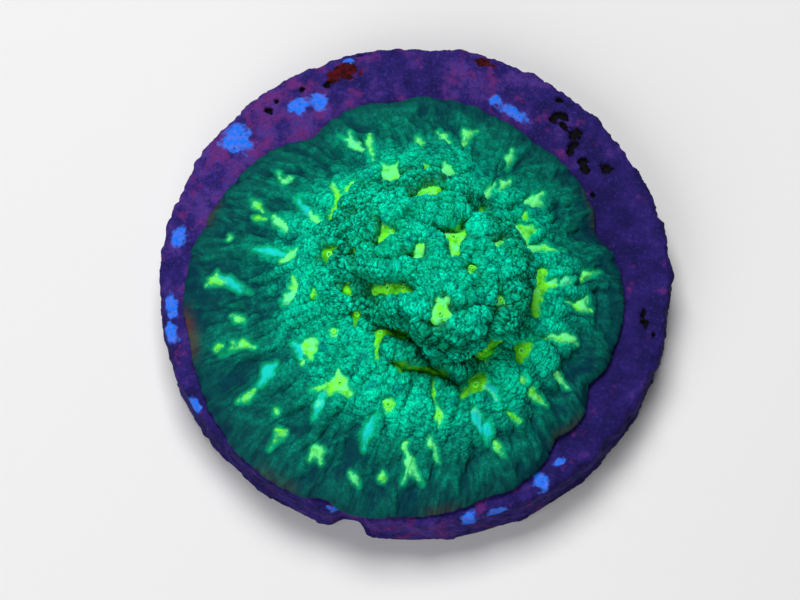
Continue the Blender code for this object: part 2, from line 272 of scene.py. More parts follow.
# Soft folds along the skirt's outer half: pitch and length, and rise.
FOLD_SIZE = (2.3, 4.2)
FOLD_RISE = 0.60

# How far the borders of these forms wander, and over what length.
EYE_WANDER = (0.22, 0.8)
LUMP_WANDER = (0.45, 2.2)
GRANULE_WANDER = (0.30, 1.1)
RIDGE_WANDER = (0.40, 1.0)
FIBRE_WANDER = (0.9, 3.0)

# The finer relief. Ridges lie across the skirt, and ribs and fibres run down it.
NODULE_PITCH = 0.95
NODULE_RISE = 0.42
GRANULE_PITCH = 0.36
GRANULE_RISE = 0.20
GRAIN_PITCH = 0.21
GRAIN_RISE = 0.12
RIDGE_PITCH = 0.50
RIDGE_LENGTH = 1.4
RIDGE_RISE = 0.22
RIB_SIZE = (0.85, 1.9)
RIB_RISE = 0.09
RIB_SHIFT = 20.0
FIBRE_SIZE = (0.45, 3.5)
FIBRE_RISE = 0.06
# Nodules, granules and grains are somewhat taller than wide on the flanks.
BEAD_SHAPE = (1.0, 1.0, 0.8)

# The side where the outer skirt gets painted light, and the sides where its fold valleys get deeper painted
# shade: direction and strength.
PAINTED_LIGHT_SIDE = (88, 0.22)
VALLEY_SHADE_SIDES = ((5, 0.6), (178, 0.3))
SIDE_SPREAD = 0.6

# The map for baking, and the part of its height for faces that never show.
BAKE_MAP = "OFBake"
HIDDEN_STRIP = 0.04


def smoothstep(low, high, value):
    """0 below low, 1 above high, and a smooth climb between them."""
    share = np.clip((value - low) / (high - low), 0.0, 1.0)
    return share * share * (3.0 - 2.0 * share)


def fading(distance, power=2):
    """1 at no distance and nearly 0 from 2 on; a higher power gives a flatter top."""
    return np.exp(-(distance**power))


def spline(before, start, end, after, share):
    """A Catmull-Rom curve between start and end."""
    cubic = 3.0 * (start - end) + after - before
    square = 2.0 * before - 5.0 * start + 4.0 * end - after
    return start + 0.5 * share * (end - before + share * (square + share * cubic))


def around(stations, angle):
    """Values at even steps round a circle, read smoothly at these angles."""
    stations = np.asarray(stations)
    place = np.mod(angle, math.tau) / math.tau * len(stations)
    first = np.floor(place).astype(int)
    near = [stations[(first + step) % len(stations)] for step in (-1, 0, 1, 2)]
    return spline(*near, place - first)


def turn_from(angle, degrees):
    """How far each angle is turned from a direction, at most half a turn either way."""
    return np.mod(angle - math.radians(degrees) + math.pi, math.tau) - math.pi


def towards(angle, degrees, spread, power=2):
    """How near each angle is to a direction: 1 there, and nearly 0 from twice the spread on."""
    return fading(turn_from(angle, degrees) / spread, power)


def away_in_plan(points, x, y):
    """How far each point lies from a place in plan."""
    return np.hypot(points[:, 0] - x, points[:, 1] - y)


def level_ways(angle):
    """The level directions at these angles."""
    return np.stack([np.cos(angle), np.sin(angle), np.zeros(len(angle))], axis=1)


def lip_reach(angle):
    """How far the lip lies from the colony's centre, with its clefts."""
    reach = around(LIP_REACH, angle)
    for degrees, depth, half_width in LIP_CLEFTS:
        reach = reach - depth * towards(angle, degrees, math.radians(half_width))
    return reach


def mound_profile(angle):
    """The mound's profile points at each angle, from the apex over the brow to the foot."""
    brow, lip = around(BROW_REACH, angle), lip_reach(angle)
    foot, skirt = around(FOOT_HEIGHT, angle), around(SKIRT_HEIGHT, angle)
    brow_height = np.maximum(0.5 * (foot + APEX_HEIGHT), foot + 1.0)
    knob_to_lip = lip - brow
    level = np.zeros(len(angle))
    # Each point: reach, height, and how far its centre has moved from the knob's to the colony's.
    profile = (
        (level, level + APEX_HEIGHT, 0.0),
        (0.50 * brow, level + (APEX_HEIGHT - 0.5), 0.0),
        (0.86 * brow, 0.35 * brow_height + 0.65 * APEX_HEIGHT - 0.8, 0.0),
        (brow, brow_height, 0.0),
        (brow - around(UNDERCUT, angle), foot, 0.0),
        (brow + 0.42 * knob_to_lip, skirt, 0.42),
        (brow + 0.82 * knob_to_lip, 0.48 * skirt + 0.3, 0.82),
        (lip, level + 0.7, 1.0),
        (lip - 0.5, level, 1.0),
    )
    knob, colony = np.array(KNOB_CENTRE), np.array(COLONY_CENTRE)
    points = []
    for reach, height, share in profile:
        point = level_ways(angle) * reach[:, None]
        point[:, :2] = knob + share * (colony - knob) + point[:, :2]
        point[:, 2] = height
        points.append(point)
    return np.stack(points)


def mound(place, angle):
    """The mound's smooth surface: place runs from 0 at the apex to 1 at the foot."""
    points = mound_profile(angle)
    places = np.array(PROFILE_PLACES)
    last = len(places) - 1
    first = np.clip(np.searchsorted(places, place, side="right") - 1, 0, last - 1)
    share = ((place - places[first]) / (places[first + 1] - places[first]))[:, None]
    column = np.arange(len(place))
    near = [points[np.clip(first + step, 0, last), column] for step in (-1, 0, 1, 2)]
    return spline(*near, share)


def bulged(points):
    """The mound with its separate bulges, which fade out towards the foot."""
    lift = np.zeros(len(points))
    for x, y, radius, rise in BULGES:
        lift += rise * fading(away_in_plan(points, x, y) / radius)
    raised = points.copy()
    raised[:, 2] += lift * smoothstep(1.5, 4.0, points[:, 2])
    return raised


def even_places(shares):
    """The places that cut the mound's profile at these shares of its length, and its length."""
    places = np.linspace(0.0, 1.0, PROFILE_STEPS)
    angles = np.linspace(0.0, math.tau, PROFILE_TURNS, endpoint=False)
    line = bulged(mound(np.repeat(places, PROFILE_TURNS), np.tile(angles, PROFILE_STEPS)))
    line = line.reshape(PROFILE_STEPS, PROFILE_TURNS, 3)
    steps = np.linalg.norm(np.diff(line, axis=0), axis=2).mean(axis=1)
    length = np.concatenate([[0.0], np.cumsum(steps)])
    return np.interp(shares, length / length[-1], places), length[-1]


# ---- meshes


def finished(name, built):
    """What has been built, as a mesh."""
    mesh = bpy.data.meshes.new(name)
    built.to_mesh(mesh)
    built.free()
    return mesh


def hexagon_sheet(rows):
    """A flat hexagon of triangles, and each point's share of the way out and angle."""
    grid = bmesh.new()
    turn = Matrix.Rotation(math.radians(30), 4, "Z")
    bmesh.ops.create_circle(grid, cap_ends=True, cap_tris=True, segments=6, radius=1.0, matrix=turn)
    bmesh.ops.subdivide_edges(grid, edges=grid.edges[:], cuts=rows - 1, use_grid_fill=True)
    mesh = finished("sheet", grid)
    flat = read_rows(mesh.vertices, "co")[:, :2]
    sides = np.radians([30.0, 90.0, 150.0])
    across = np.abs(flat @ np.stack([np.cos(sides), np.sin(sides)])).max(axis=1)
    share = across / math.cos(math.radians(30))
    sixth = math.tau / 6
    polar = np.mod(np.arctan2(flat[:, 1], flat[:, 0]), math.tau)
    side = np.floor(polar / sixth)
    along = 0.5 + np.tan(polar - (side + 0.5) * sixth) / (2.0 * math.tan(sixth / 2))
    return mesh, np.clip(share, 0.0, 1.0), (side + along) * sixth


def read_rows(items, name):
    """What this name gives for each of a mesh's items, as rows of three."""
    flat = np.empty(len(items) * 3, np.float32)
    items.foreach_get(name, flat)
    return flat.reshape(-1, 3).astype(float)


def read_triangles(mesh):
    """The corners of each triangle of a mesh that has only triangles."""
    corners = np.empty(len(mesh.loops), np.int32)
    mesh.loops.foreach_get("vertex_index", corners)
    return corners.reshape(-1, 3)


def normals_at(mesh, points):
    """The unit normals that the mesh has with its points here."""
    mesh.vertices.foreach_set("co", np.asarray(points, np.float32).ravel())
    mesh.update()
    return read_rows(mesh.vertex_normals, "vector")


def store(mesh, name, values):
    """Keeps one number for each point, for the materials."""
    layer = mesh.attributes.new(name, "FLOAT", "POINT")
    layer.data.foreach_set("value", np.asarray(values, np.float32))


def lay_out(mesh, corners):
    """The map for baking: a place from 0 to 1 for each face corner."""
    layer = mesh.uv_layers.new(name=BAKE_MAP)
    layer.uv.foreach_set("vector", np.asarray(corners, np.float32).ravel())


def unit(vectors):
    """Each row, made one long."""
    return vectors / np.maximum(np.linalg.norm(vectors, axis=-1, keepdims=True), 1e-9)


def add_object(name, data):
    """A new object in the scene."""
    added = bpy.data.objects.new(name, data)
    bpy.context.scene.collection.objects.link(added)
    return added


def make_object(name, mesh, finish, node):
    """The mesh as a piece that rides with the body in place of a CAD node."""
    mesh.materials.append(finish)
    piece = add_object(name, mesh)
    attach(piece, "root")
    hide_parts(node)


# ---- the colony's relief


def seen_from_above(points, x, y):
    """The index of the skin's top point at this place in plan."""
    away = away_in_plan(points, x, y)
    near = np.flatnonzero(away < away.min() + 0.2)
    return near[np.argmax(points[near, 2])]


def tangent_towards(degrees, up):
    """The way along the skin that goes this way in plan, held short where it is steep."""
    way = np.array([math.cos(math.radians(degrees)), math.sin(math.radians(degrees)), 0.0])
    way[2] = -(way @ up) / max(up[2], 0.35)
    return way / np.linalg.norm(way[:2]) / max(1.0, np.linalg.norm(way) / 1.6)


def beside_segment(offset, way):
    """For offsets from a line's start, the share of the line passed, and the distance beside it."""
    share = np.clip(offset @ way / (way @ way), 0.0, 1.0)
    return share, np.linalg.norm(offset - share[:, None] * way, axis=1)


def joined(first, second, web):
    """The smooth union of two distances."""
    share = np.clip(0.5 + 0.5 * (second - first) / web, 0.0, 1.0)
    return second + (first - second) * share - web * share * (1.0 - share)


def eye_distances(points, places, ups):
    """Each point's distance outside the nearest eye spot, and the tint and size of the spots there."""
    nearest = np.full(len(points), EYE_FAR)
    tint = np.zeros(len(points))
    size = np.zeros(len(points))
    weights = np.full(len(points), 1e-9)
    for (_, _, radius, colour, _, *arms), centre, up in zip(EYES, places, ups, strict=True):
        near = np.flatnonzero(np.linalg.norm(points - centre, axis=1) < EYE_SPAN)
        offset = points[near] - centre
        distance = np.linalg.norm(offset, axis=1) - radius
        for degrees, length, tip in arms:
            share, beside = beside_segment(offset, tangent_towards(degrees, up) * (length + radius))
            thickness = radius * EYE_ARM_ROOT * (1.0 - share) + tip * share
            distance = joined(distance, beside - thickness, EYE_WEB)
        weight = np.exp(np.clip(-distance / TINT_BLEND, -20.0, 5.0))
        tint[near] += colour * weight
        size[near] += radius * weight
        weights[near] += weight
        nearest[near] = np.minimum(nearest[near], distance)
    return nearest, tint / weights, size / weights


def crevice_cuts(points):
    """How deep each point lies in a long crevice: 1 along its middle, and 0 away from it."""
    cut = np.zeros(len(points))
    for half_width, *line in CREVICES:
        for start, end in zip(line, line[1:]):
            _, beside = beside_segment(points[:, :2] - start, np.subtract(end, start, dtype=float))
            cut = np.maximum(cut, fading(beside / half_width))
    return cut


def saddle_dips(points):
    """How far each point lies in a saddle: 1 in its middle, and 0 away from it."""
    dip = np.zeros(len(points))
    for x, y, radius in SADDLES:
        dip = np.maximum(dip, fading(away_in_plan(points, x, y) / radius, 4))
    return dip


def shortened_square(offset, way, stretch):
    """The square of each offset, with its part along way counted as this much shorter."""
    along = offset @ way
    return (offset**2).sum(axis=1) - along**2 * (1.0 - 1.0 / stretch**2)


def scattered(points, pitch, stretch, outward, barred):
    """Indices of points about a pitch apart, or a pitch times stretch along outward."""
    free = ~barred
    chosen = []
    for index in np.random.default_rng(LUMP_SEED).permutation(len(points)):
        if not free[index]:
            continue
        chosen.append(index)
        square = shortened_square(points - points[index], outward[index], stretch[index])
        free &= square > pitch[index] ** 2
    return np.array(chosen)


def lump_shares(points, seeds, widths, stretch, outward):
    """How near each point is to its lump's border, from 0 in the middle to 1, and how far from it."""
    first = np.full(len(points), np.inf)
    second = np.full(len(points), np.inf)
    for seed, width, length, way in zip(seeds, widths, stretch, outward, strict=True):
        square = shortened_square(points - seed, way, length) / width**2
        second = np.minimum(second, np.maximum(first, square))
        first = np.minimum(first, square)
    first, second = np.sqrt(first), np.sqrt(second)
    return first / np.maximum(second, 1e-6), second - first


def cell_domes(places):
    """Round-topped Voronoi cells: 1 on top of a cell and 0 in the gap between two."""
    found = np.array([noise.voronoi(place)[0][:2] for place in places.tolist()])
    share = found[:, 0] / np.maximum(found[:, 1], 1e-6)
    return np.sqrt(np.clip(1.0 - share**2, 0.0, 1.0))


def rippled(places, octaves):
    """Fractal noise at the places, about -1 to 1."""
    return np.array([noise.fractal(place, 1.0, 2.0, octaves) for place in places.tolist()])


def strands(places):
    """Narrow bands of noise: 1 along the middle of a strand, and 0 between two."""
    return smoothstep(-0.5, 0.5, rippled(places, 2))


def wandered(points, distance, length):
    """The points, each moved by smooth noise."""
    return points + distance * np.array([noise.noise_vector(point) for point in (points / length).tolist()])


def brown_lips(base, place):
    """How brown the tissue is: 1 in the middle of a tinge, and 0 away from it."""
    angle = np.arctan2(base[:, 1] - COLONY_CENTRE[1], base[:, 0] - COLONY_CENTRE[0])
    at_lip = smoothstep(0.92, 0.97, place)
    brown = np.zeros(len(base))
    for degrees, half_width, strength in BROWN_LIPS:
        brown = np.maximum(brown, strength * towards(angle, degrees, math.radians(half_width), 4) * at_lip)
    return brown


class Skin:
    """The coral's whole skin as one sheet, with what its pieces, mouths and materials need."""

    def __init__(self):
        self.mesh, self.share, self.angle = hexagon_sheet(SKIN_ROWS)
        self.triangles = read_triangles(self.mesh)
        self.lay_mound()
        self.lay_eyes()
        self.raise_lumps()
        self.raise_nodules()
        self.raise_granules()
        self.dent_mouths()
        self.normals = normals_at(self.mesh, self.points)
        self.shown = {
            "eye": self.eye,
            "tint": self.tint,
            "crease_shade": self.crease_shade,
            "relief_light_share": self.paint_relief_light(),
            "valley": self.paint_valley_shade(),
            "place": self.place,
            "brown": brown_lips(self.base, self.place),
        }

    def lay_mound(self):
        """The mound, set in to leave room for its relief, its zones, and the ways up and out from it."""
        self.place, length = even_places(self.share)
        self.arc = self.share * length
        smooth = bulged(mound(self.place, self.angle))
        smooth[:, 2] += SEAT
        self.up = normals_at(self.mesh, smooth)
        self.base = smooth - self.up * (SKIN_INSET * (1.0 - smoothstep(0.8, 1.0, self.place)))[:, None]
        self.radial = level_ways(self.angle)
        self.outward = unit(self.radial - self.up * (self.radial * self.up).sum(axis=1, keepdims=True))
        self.skirt = smoothstep(*SKIRT_START, self.place)
        self.outer = smoothstep(*OUTER_START, self.place)
        self.knob, self.pleats = 1.0 - self.skirt, self.skirt * (1.0 - self.outer)

    def lay_eyes(self):
        """Where the eye spots lie, and each point's distance from them and their tint and size."""
        self.eyes = np.array([seen_from_above(self.base, x, y) for x, y, *_ in EYES])
        wavy = wandered(self.base, *EYE_WANDER)
        self.eye, self.tint, self.eye_size = eye_distances(wavy, wavy[self.eyes], self.up[self.eyes])
        self.eye -= KNOB_EYE_GAIN * self.knob

    def choose_lumps(self):
        """The lumps' places, widths, stretches and ways: the knob's lobes, then others between."""
        rng = np.random.default_rng(LUMP_SEED)
        some = rng.choice(len(self.base), LUMP_TRIES, replace=False)
        lobes = np.array([seen_from_above(self.base, x, y) for x, y, _ in LOBES])
        radii = np.array([radius for *_, radius in LOBES])
        clear = np.full(LUMP_TRIES, np.inf)
        for lobe, radius in zip(lobes, radii, strict=True):
            clear = np.minimum(clear, np.linalg.norm(self.base[some] - self.base[lobe], axis=1) - radius)
        barred = (self.eye[some] < 0.6) | (self.place[some] > 0.97) | (clear < 0.5 * LUMP_PITCH)
        pitch = LUMP_PITCH + (PLEAT_PITCH - LUMP_PITCH) * self.skirt
        stretch = 1.0 + (PLEAT_STRETCH - 1.0) * self.skirt
        others = some[scattered(self.base[some], pitch[some], stretch[some], self.outward[some], barred)]
        seeds = np.concatenate([lobes, others])
        varied = pitch[others] * rng.uniform(*LUMP_VARIETY, len(others))
        widths = np.concatenate([LOBE_GAIN * radii, varied])
        return self.base[seeds], widths, stretch[seeds], self.outward[seeds]

    def down_skirt(self, pitch, length, course):
        """Places in a pattern this fine round the skirt and this long down it, along a course."""
        places = self.radial * np.max(lip_reach(np.zeros(1))) / pitch
        places[:, 2] = self.arc / length
        return places + course / pitch

    def raise_lumps(self):
        """Lumps, crevices and saddles on the knob, and pleats and folds on the skirt."""
        wandering = wandered(self.base, *LUMP_WANDER)
        border, gap = lump_shares(wandering, *self.choose_lumps())
        cut, dip = crevice_cuts(wandering), saddle_dips(self.base)
        lump = np.sqrt(1.0 - border**3) * self.knob + smoothstep(1.0, 0.25, border) * self.skirt
        sunk = 0.45 + 0.40 * smoothstep(0.40, 0.55, self.eye_size)
        beside_eye = 1.0 - sunk * (1.0 - smoothstep(-0.15, 0.75, self.eye))
        height = lump * np.interp(self.place, RISE_PLACES, RISES) * beside_eye * (1.0 - cut) * (1.0 - dip)
        height -= CREVICE_DEPTH * cut + SADDLE_DEPTH * dip
        # How deep each point lies in a crease between lumps or in a crevice, for painted shade in the
        # tissue's colour.
        self.crease_shade = np.maximum(0.78 * (1.0 - smoothstep(0.0, 0.40, gap)), cut)

        folds = rippled(self.down_skirt(*FOLD_SIZE, wandering - self.base), 3)
        self.valley = smoothstep(0.25, -0.55, folds)
        before_lip = 0.3 + 0.7 * (1.0 - smoothstep(0.80, 1.0, self.place))
        height -= FOLD_RISE * self.valley * beside_eye * smoothstep(0.62, 0.78, self.place) * before_lip
        self.points = self.base + self.up * height[:, None]
        self.lumpy_up = normals_at(self.mesh, self.points)

    def raise_nodules(self):
        """Nodules on the knob, and the eye spots as low pads."""
        self.clear = smoothstep(0.0, 0.40, self.eye)
        self.nodules = cell_domes(self.points * BEAD_SHAPE / NODULE_PITCH)
        pads = EYE_PAD * smoothstep(0.1, -0.3, self.eye)
        self.points += self.lumpy_up * (NODULE_RISE * self.nodules * self.knob * self.clear + pads)[:, None]

    def raise_granules(self):
        """Granules and grains on the knob, ridges across the skirt, and ribs and fibres down it."""
        up = normals_at(self.mesh, self.points)
        beads = wandered(self.points, *GRANULE_WANDER)
        self.granules = cell_domes(beads * BEAD_SHAPE / GRANULE_PITCH)
        self.grains = cell_domes(self.points * BEAD_SHAPE / GRAIN_PITCH)
        across = self.base / RIDGE_LENGTH
        shifted = self.arc + wandered(self.base, *RIDGE_WANDER)[:, 2]
        across[:, 2] = (shifted - self.base[:, 2]) / RIDGE_PITCH
        self.ridges = cell_domes(across)
        course = wandered(self.base, *FIBRE_WANDER) - self.base
        self.fibres = strands(self.down_skirt(*FIBRE_SIZE, course))
        self.ribs = strands(self.down_skirt(*RIB_SIZE, course) + RIB_SHIFT)
        self.on_top = 1.0 - smoothstep(0.30, 0.50, self.place)
        self.steep = smoothstep(0.85, 0.40, self.lumpy_up[:, 2]) * self.knob
        beads = GRANULE_RISE * self.granules * (1.0 - 0.55 * self.on_top + self.steep)
        fine = (beads + GRAIN_RISE * self.grains) * (self.knob + 0.6 * self.pleats)
        lines = (RIB_RISE * self.ribs + FIBRE_RISE * self.fibres) * (self.outer + 0.5 * self.pleats)
        fine += RIDGE_RISE * self.ridges * self.pleats + lines
        self.points += up * (fine * self.clear * (1.0 - smoothstep(0.96, 1.0, self.place)))[:, None]
        self.points[:, 2] -= SKIN_DROP * smoothstep(0.9, 1.0, self.place)

    def dent_mouths(self):
        """A hollow for each mouth, whose place, way up and size are kept."""
        self.mouths = []
        for (_, _, radius, _, has_mouth, *_), index in zip(EYES, self.eyes, strict=True):
            if has_mouth:
                size = MOUTH_SIZE * min(1.0, 0.4 + radius)
                self.mouths.append((self.points[index].copy(), self.lumpy_up[index], size))
        for centre, up, size in self.mouths:
            away = np.linalg.norm(self.points - centre, axis=1) / (0.6 * size)
            self.points -= MOUTH_DENT * fading(away, 4)[:, None] * up

    def paint_relief_light(self):
        """How much each point stands out in the fine relief, as painted light: from painted shade at 0 in a
        gap to painted highlight at 1 on top.
        """
        granules, grains = self.granules, self.grains
        beaded = granules * (0.50 + 0.50 * self.nodules) * (0.45 + 0.55 * grains)
        fuzzy = 0.30 * granules + 0.45 * grains + 0.25 * self.nodules
        on_knob = beaded + (fuzzy - beaded) * 0.6 * self.on_top
        # Steep flanks get deeper painted shade in their gaps.
        on_knob *= 1.0 + self.steep * (0.45 * granules - 0.25)
        on_pleats = (0.52 * granules + 0.52 * self.ridges) * (0.85 + 0.15 * grains)
        on_pleats *= 0.68 + 0.32 * self.ribs
        # The outer skirt is painted lighter on its lit side.
        degrees, strength = PAINTED_LIGHT_SIDE
        on_outer = 0.28 + strength * towards(self.angle, degrees, SIDE_SPREAD)
        on_outer = on_outer + 0.32 * self.ribs + 0.24 * self.fibres
        return self.knob * on_knob + self.pleats * on_pleats + self.outer * on_outer

    def paint_valley_shade(self):
        """How deep each point lies in a valley between folds, as painted shade, more so on the shaded
        sides.
        """
        gain = 1.0
        for degrees, strength in VALLEY_SHADE_SIDES:
            gain = gain + strength * towards(self.angle, degrees, SIDE_SPREAD)
        return np.clip(self.valley * gain, 0.0, 1.0)


# ---- the skin's pieces


def map_knob(skin, used, _):
    """The knob's points on its bake map: the hexagon, as before it was shaped."""
    reach = skin.share[used] * SKIN_ROWS / KNOB_ROWS
    sixth = math.tau / 6
    off = (np.mod(skin.angle[used], sixth) / sixth)[:, None]
    corner = np.floor(skin.angle[used] / sixth) * sixth
    flat = (level_ways(corner) * (1.0 - off) + level_ways(corner + sixth) * off) * reach[:, None]
    return 0.5 + 0.5 * flat[:, :2]


def map_sector(skin, used, sector):
    """A sector's points on its bake map: round it from left to right, and outwards up it."""
    third = math.tau / 3
    slack = 1e-6
    round_it = (np.mod(skin.angle[used] - sector * third + slack, math.tau) - slack) / third
    start = KNOB_ROWS / SKIN_ROWS
    return np.stack([round_it, (skin.share[used] - start) / (1.0 - start)], axis=1)


def open_edges(corners):
    """The edges that only one triangle has, turned the other way: their starts and ends."""
    edges = np.concatenate([corners[:, [0, 1]], corners[:, [1, 2]], corners[:, [2, 0]]])
    key = np.sort(edges, axis=1) @ np.array([corners.max() + 1, 1])
    _, which, times = np.unique(key, return_inverse=True, return_counts=True)
    end, start = edges[times[which.ravel()] == 1].T
    return start, end


def closed_below(top, corners):
    """The points with hidden walls and a floor below them, in metres, the rim, and the hidden triangles."""
    start, end = open_edges(corners)
    rim = np.unique(start)
    below = np.zeros(len(top), int)
    below[rim] = len(top) + np.arange(len(rim))
    middle = top.mean(axis=0)
    middle[2] = FLOOR_HEIGHT
    foot = top[rim] + WALL_INSET * unit((middle - top[rim]) * (1.0, 1.0, 0.0))
    foot[:, 2] = FLOOR_HEIGHT
    last = np.full(len(start), len(top) + len(rim))
    hidden = [(start, end, below[end]), (start, below[end], below[start]), (below[start], below[end], last)]
    hidden = np.concatenate([np.stack(three, axis=1) for three in hidden])
    return np.vstack([top, foot, middle]) * MM, rim, hidden


def hidden_strip(count):
    """Places on the bake map for triangles that never show, side by side in a low strip."""
    step = np.arange(count) / count
    strip = np.stack([step, step + 1.0 / count, step + 0.5 / count], axis=1)
    high = np.tile([0.7 * HIDDEN_STRIP, 0.7 * HIDDEN_STRIP, 0.1 * HIDDEN_STRIP], (count, 1))
    return np.stack([strip, high], axis=2).reshape(-1, 2)


def cut_piece(name, skin, chosen, flatten, sector=0):
    """Some of the skin's triangles as a closed mesh in metres."""
    used, corners = np.unique(skin.triangles[chosen], return_inverse=True)
    corners = corners.reshape(-1, 3)
    points, rim, hidden = closed_below(skin.points[used], corners)
    mesh = bpy.data.meshes.new(name)
    mesh.from_pydata(points.tolist(), [], np.concatenate([corners, hidden]).tolist())
    source = np.concatenate([used, used[rim], used[:1]])
    for key, values in skin.shown.items():
        store(mesh, key, values[source])

    flat = flatten(skin, used, sector)
    flat[:, 1] = HIDDEN_STRIP + (1.0 - HIDDEN_STRIP) * flat[:, 1]
    lay_out(mesh, np.concatenate([flat[corners.ravel()], hidden_strip(len(hidden))]))
    first, second, third = points[hidden].transpose(1, 0, 2)
    facing = unit(np.cross(second - first, third - first))
    turned = np.concatenate([skin.normals[used][corners.ravel()], np.repeat(facing, 3, axis=0)])
    mesh.shade_smooth()
    mesh.normals_split_custom_set(turned.tolist())
    return mesh


def make_skin_pieces(skin, finish):
    """The knob, and the skirt in three sectors, so that none is too heavy."""
    knob = skin.share[skin.triangles].mean(axis=1) < KNOB_ROWS / SKIN_ROWS
    ways = level_ways(skin.angle[skin.triangles].ravel()).reshape(-1, 3, 3).mean(axis=1)
    middle = np.arctan2(ways[:, 1], ways[:, 0])
    sector = np.floor(np.mod(middle, math.tau) / (math.tau / 3)).astype(int)
    mesh = cut_piece("coral_knob", skin, knob, map_knob)
    make_object("coral_knob", mesh, finish, "coral_colony")
    for number, side in enumerate(SECTORS):
        name = f"coral_skirt_{side}"
        mesh = cut_piece(name, skin, ~knob & (sector == number), map_sector, number)
        make_object(name, mesh, finish, "coral_colony")


# ---- the mouths

# A mouth's turned profile from its middle outwards: reach and height, as shares of its size.
MOUTH_PROFILE = ((0.1, -0.75), (0.35, -0.6), (0.55, 0.1), (0.75, 0.38), (1, 0.3), (1.35, 0.02), (1.6, -0.4))
MOUTH_SEGMENTS = 20
MOUTH_OVAL = 1.2


def mouth_rings(bm, place, up, size):
    """The rings of points of one mouth."""
    centre = Vector(place)
    turn = Vector(up).to_track_quat("Z", "Y").to_matrix()
    rings = []
    for reach, height in MOUTH_PROFILE:
        ring = []
        for step in range(MOUTH_SEGMENTS):
            angle = math.tau * step / MOUTH_SEGMENTS
            spot = Vector((MOUTH_OVAL * reach * math.cos(angle), reach * math.sin(angle), height))
            ring.append(bm.verts.new((centre + turn @ spot * size) * MM))
        rings.append(ring)
    return rings


def make_mouths(mouths):
    """A low ring round a hollow for each mouth, which its finish colours dark as painted shade."""
    bm = bmesh.new()
    for mouth in mouths:
        rings = mouth_rings(bm, *mouth)
        for inner, outer in zip(rings, rings[1:]):
            for step in range(MOUTH_SEGMENTS):
                after = (step + 1) % MOUTH_SEGMENTS
                bm.faces.new((inner[step], outer[step], outer[after], inner[after]))
        bm.faces.new(rings[0])
        bm.faces.new(reversed(rings[-1]))
    mesh = finished("coral_mouths", bm)
    reaches = np.repeat([reach for reach, _ in MOUTH_PROFILE], MOUTH_SEGMENTS)
    store(mesh, "reach", np.tile(reaches, len(mouths)))
    mesh.shade_smooth()
    return mesh


# ---- the disc's crust

RIM_UNEVENNESS = 0.12
RIM_WAVES = ((5, 1.0), (11, 0.0), (23, 2.0))
CHIP_DIRECTION = 255
CHIP_HALF_WIDTH = math.radians(3.6)
CHIP_DEPTH = 1.1
CRUST_START = 18.0
CRUST_EDGE = 0.55
CRUST_STEPS = 720
CRUST_RELIEF = 0.12
RIM_RELIEF = 0.13
PIT_DEPTH = 0.55
CRUST_STEP = 0.16
RELIEF_TOP = 0.45
# The crust's coarse, medium and small unevenness: shift, size and octaves.
CRUST_NOISES = ((0.0, 3.0, 4), (40.0, 1.0, 3), (80.0, 0.4, 2))
# Its warm and cool sides, and two warm patches on them: direction, strength and spread.
WARM_SIDES = ((140, 0.9, 0.85), (10, -0.5, 0.7))
WARM_PATCHES = ((72, 0.6, 0.5), (268, 0.7, 0.5))

# Marks on the crust: direction, run outwards from the middle and on down the side, half length round the
# disc and half width across.
PITS = (
    (103, 25.1, 0.4, 0.3), (129, 23.5, 0.5, 0.5), (126, 23.9, 0.32, 0.25), (119, 23.7, 0.3, 0.25),
    (113, 22.9, 0.45, 0.32), (50, 23.2, 0.8, 0.45), (51, 22.6, 0.45, 0.85), (48, 22.4, 0.75, 0.4),
    (44, 22.5, 0.6, 0.75), (42, 21.6, 0.4, 0.7), (41, 20.8, 0.55, 0.4), (37, 21.3, 0.5, 0.6),
    (35, 20.9, 0.7, 0.5), (32, 22.7, 0.65, 0.45), (31, 23, 0.35, 0.4), (53, 24.4, 0.4, 0.3),
    (27, 20.1, 0.25, 0.25), (351, 23, 0.5, 0.25), (349, 23.2, 0.22, 0.5), (348, 23.4, 0.4, 0.2),
    (346, 24.3, 0.4, 0.25), (293, 23.4, 0.35, 0.3), (285, 25.6, 0.3, 0.25),
)
BLUES = (
    (140, 23.4, 1.4, 1.5), (122, 22.2, 1, 0.8), (117, 21.7, 0.9, 0.9), (67, 21, 0.6, 0.5),
    (61, 20.6, 1.7, 0.5), (106, 24.6, 0.5, 0.4), (187, 24.4, 1.3, 0.6), (193, 24.8, 1.1, 0.6),
    (169, 24, 1, 0.8), (211, 25.4, 1, 0.5), (252, 25.6, 0.7, 0.9), (282, 25.5, 0.7, 0.9),
    (288, 25.8, 1.2, 0.7), (300, 24.3, 0.7, 1), (306, 23.6, 0.7, 0.4),
)
REDS = ((108, 23.6, 1.6, 0.9), (73, 24.5, 1, 0.45))
# Small knobs that stand out from the rim: direction, run, radius and rise.
RIM_KNOBS = (
    (1, 25.3, 0.6, 0.45), (14, 25.4, 0.5, 0.25), (312, 25.2, 0.9, 0.3), (322, 25.3, 0.8, 0.25),
    (205, 25.4, 0.8, 0.25),
)


def rim_reach(angle):
    """How far the disc's rim lies from its centre, as in the CAD model."""
    wave = sum(np.sin(count * angle + phase) for count, phase in RIM_WAVES) / len(RIM_WAVES)
    chip = CHIP_DEPTH * towards(angle, CHIP_DIRECTION, CHIP_HALF_WIDTH, 4)
    return DISC_RADIUS + RIM_UNEVENNESS * (wave - 0.5) - chip


def mark_distance(marks, angle, run):
    """How far each point lies from the nearest mark, as a share of its size: 1 is its edge."""
    nearest = np.full(len(angle), 9.0)
    for degrees, reach, half_length, half_width in marks:
        along = turn_from(angle, degrees) * reach / half_length
        nearest = np.minimum(nearest, np.hypot(along, (run - reach) / half_width))
    return nearest


